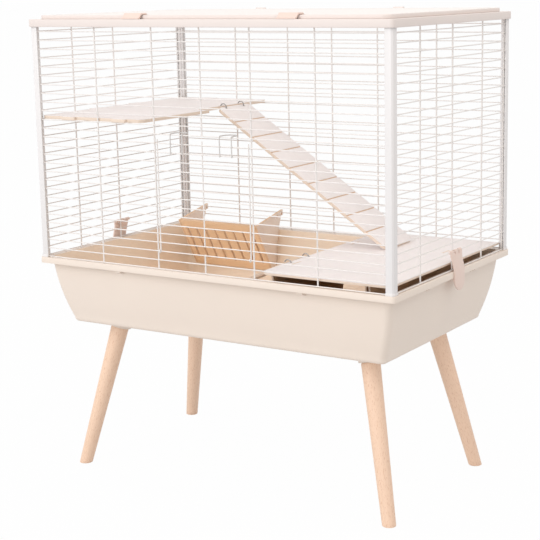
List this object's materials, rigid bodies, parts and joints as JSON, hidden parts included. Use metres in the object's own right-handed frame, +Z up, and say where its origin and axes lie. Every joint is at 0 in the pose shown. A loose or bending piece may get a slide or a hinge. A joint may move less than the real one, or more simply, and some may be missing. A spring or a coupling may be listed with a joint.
{
  "type": "small animal cage",
  "caption": "Wire small-animal cage on splayed wooden legs, with a deep tray, hinged doors, clips, shelf, climbing boards, hide and hay rack.",
  "frame": {"origin": "on the floor under the middle of the tray", "axes": "+X to the right as seen from the front, +Y to the back, +Z up"},
  "size_m": [0.7838, 0.477, 0.8916],
  "materials": {
    "tray_plastic": "satin moulded",
    "roof_plastic": "satin moulded",
    "post_plastic": "satin extruded",
    "clip_plastic": "satin moulded",
    "white_wire": "white coated",
    "bolt_steel": "bright zinc",
    "ring_steel": "bright zinc",
    "beech": "clear satin lacquer",
    "pale_board": "pale sanded board",
    "rack_ply": "sanded plywood"
  },
  "bodies": {
    "cage": {"leg_front_left": "beech", "leg_mount_front_left": "tray_plastic", "corner_post_front_left": "post_plastic", "post_shoe_front_left": "post_plastic", "leg_front_right": "beech", "leg_mount_front_right": "tray_plastic", "corner_post_front_right": "post_plastic", "post_shoe_front_right": "post_plastic", "leg_back_right": "beech", "leg_mount_back_right": "tray_plastic", "corner_post_back_right": "post_plastic", "post_shoe_back_right": "post_plastic", "leg_back_left": "beech", "leg_mount_back_left": "tray_plastic", "corner_post_back_left": "post_plastic", "post_shoe_back_left": "post_plastic", "base_tray": "tray_plastic", "leg_bolts": "bolt_steel", "front_wire_panel": "white_wire", "back_wire_panel": "white_wire", "left_wire_panel": "white_wire", "right_wire_panel": "white_wire", "roof_frame": "roof_plastic", "roof_curb": "roof_plastic", "lid_rest": "roof_plastic", "roof_hinge_left": "roof_plastic", "roof_hinge_right": "roof_plastic", "shelf_board": "pale_board", "hide_roof": "pale_board", "hide_left_wall": "pale_board", "hide_right_wall": "pale_board", "hide_back_wall": "pale_board", "hay_rack_left": "rack_ply", "hay_rack_right": "rack_ply", "hay_rack_front": "rack_ply"},
    "front_door": {"front_door": "white_wire", "door_latch_hooks": "white_wire"},
    "roof_door": {"roof_door": "white_wire"},
    "roof_clip_left": {"roof_clip_left": "clip_plastic"},
    "roof_clip_right": {"roof_clip_right": "clip_plastic"},
    "side_clip_left": {"side_clip_left": "clip_plastic"},
    "side_clip_right": {"side_clip_right": "clip_plastic"},
    "upper_ramp": {"ramp_board": "pale_board", "ramp_rings": "ring_steel"},
    "lower_ramp": {"lower_ramp_board": "pale_board", "lower_ramp_rings": "ring_steel"}
  },
  "joints": [
    {"name": "front_door_hinge", "type": "hinge", "parent": "cage", "child": "front_door", "pos_m": [0, -0.2315, 0.4625], "axis": [1, 0, 0], "range_deg": [0, 140]},
    {"name": "roof_door_hinge", "type": "hinge", "parent": "cage", "child": "roof_door", "pos_m": [0, 0.2155, 0.8876], "axis": [-1, 0, 0], "range_deg": [0, 110]},
    {"name": "roof_clip_left_pivot", "type": "hinge", "parent": "roof_door", "child": "roof_clip_left", "pos_m": [-0.1445, -0.2155, 0.8876], "axis": [-1, 0, 0], "range_deg": [0, 90]},
    {"name": "roof_clip_right_pivot", "type": "hinge", "parent": "roof_door", "child": "roof_clip_right", "pos_m": [0.1845, -0.2155, 0.8876], "axis": [-1, 0, 0], "range_deg": [0, 90]},
    {"name": "side_clip_left_pivot", "type": "hinge", "parent": "cage", "child": "side_clip_left", "pos_m": [-0.3805, 0.00825, 0.4625], "axis": [0, 1, 0], "range_deg": [0, 100]},
    {"name": "side_clip_right_pivot", "type": "hinge", "parent": "cage", "child": "side_clip_right", "pos_m": [0.3805, 0.00825, 0.4625], "axis": [0, -1, 0], "range_deg": [0, 100]},
    {"name": "upper_ramp_pivot", "type": "hinge", "parent": "cage", "child": "upper_ramp", "pos_m": [-0.161, 0.103, 0.6976], "axis": [0, -1, 0], "range_deg": [0, 45]},
    {"name": "lower_ramp_pivot", "type": "hinge", "parent": "cage", "child": "lower_ramp", "pos_m": [0.11, -0.095, 0.4395], "axis": [0, 1, 0], "range_deg": [0, 35]}
  ]
}
